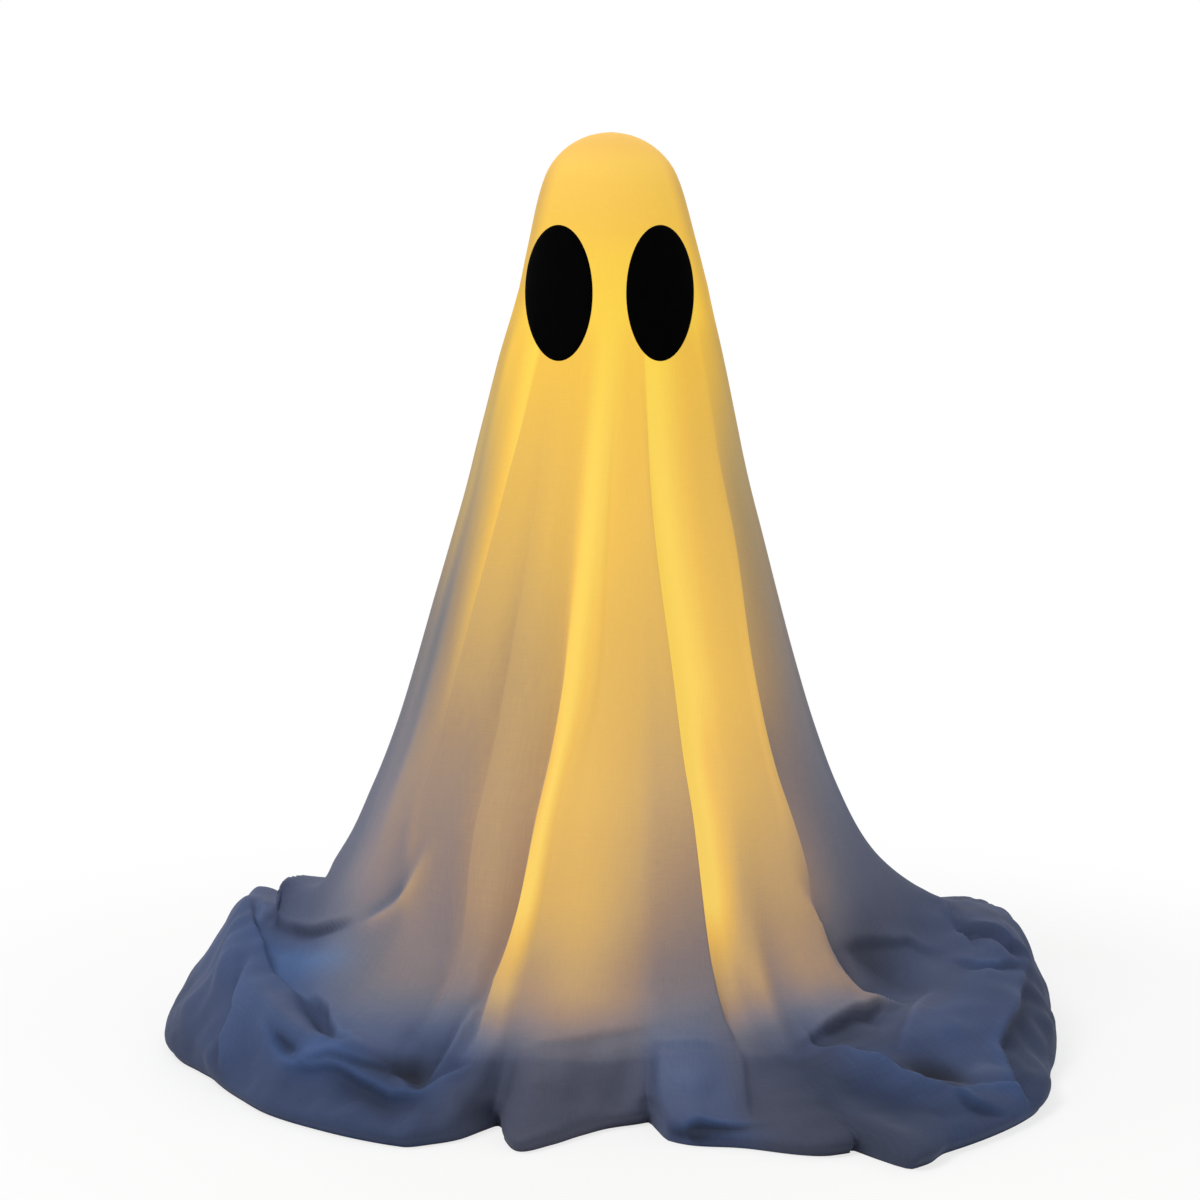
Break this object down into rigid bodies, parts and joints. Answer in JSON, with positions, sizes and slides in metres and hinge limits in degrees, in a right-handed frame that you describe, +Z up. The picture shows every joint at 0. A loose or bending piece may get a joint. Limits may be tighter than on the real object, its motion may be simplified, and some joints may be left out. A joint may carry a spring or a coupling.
{
  "type": "light-up ghost",
  "caption": "Floor-standing draped ghost lit from inside: a gathered cloth with felt eyes that lifts off a frosted light column on a weighted base.",
  "frame": {"origin": "on the floor, in the middle of the cloth's footprint and under the middle of the light column", "axes": "+Z up along the column, the eyes face -Y, and +X is to the right of someone who looks at the face"},
  "size_m": [0.9028, 0.8538, 0.91],
  "materials": {
    "cloth": "plain-woven polyester, lit from inside",
    "felt": "matt felt",
    "frosted": "frosted, lit from inside",
    "white_plastic": "fine moulded texture",
    "grey_plastic": "fine moulded texture",
    "black_plastic": "satin",
    "aluminium": "extruded",
    "steel": "plated",
    "rubber": "matt",
    "cell": "printed sleeve",
    "spring": "nickel plated",
    "board": "coated board",
    "strip": "lacquered board with lamps",
    "red_lead": "insulated wire",
    "black_lead": "insulated wire"
  },
  "bodies": {
    "frame": {"diffuser_tube": "frosted", "head_globe": "frosted", "base_housing": "white_plastic", "column_socket": "white_plastic", "globe_cap": "white_plastic", "base_plate": "grey_plastic", "battery_box": "black_plastic", "mast": "aluminium", "base_screw_1": "steel", "base_screw_2": "steel", "base_screw_3": "steel", "base_screw_4": "steel", "box_screw_1": "steel", "box_screw_2": "steel", "board_screw_1": "steel", "board_screw_2": "steel", "socket_screw_1": "steel", "socket_screw_2": "steel", "socket_screw_3": "steel", "mast_screw_1": "steel", "mast_screw_2": "steel", "cap_screw_1": "steel", "cap_screw_2": "steel", "head_board_screw": "steel", "ballast_ring": "steel", "switch_body": "steel", "foot_1": "rubber", "foot_2": "rubber", "foot_3": "rubber", "foot_4": "rubber", "cell_1": "cell", "cell_2": "cell", "cell_3": "cell", "cell_4": "cell", "contact_minus": "spring", "contact_plus": "spring", "contact_bridge_1": "spring", "contact_bridge_2": "spring", "contact_bridge_3": "spring", "control_board": "board", "light_strip_1": "strip", "light_strip_2": "strip", "light_strip_3": "strip", "light_strip_4": "strip", "head_board": "strip", "battery_lead_plus": "red_lead", "lamp_lead_plus": "red_lead", "battery_lead_minus": "black_lead", "lamp_lead_minus": "black_lead"},
    "cover": {"cloth": "cloth", "eye_left": "felt", "eye_right": "felt"},
    "door": {"battery_door": "grey_plastic"},
    "knob": {"switch_slider": "black_plastic"}
  },
  "joints": [
    {"name": "cover_lift", "type": "slide", "parent": "frame", "child": "cover", "axis": [0, 0, 1], "range_m": [0, 1]},
    {"name": "door_hinge", "type": "hinge", "parent": "frame", "child": "door", "pos_m": [-0.0328, 0, 0.007], "axis": [0, 1, 0], "range_deg": [0, 90]},
    {"name": "switch_slide", "type": "slide", "parent": "frame", "child": "knob", "axis": [1, 0, 0], "range_m": [-0.003, 0.003]}
  ]
}
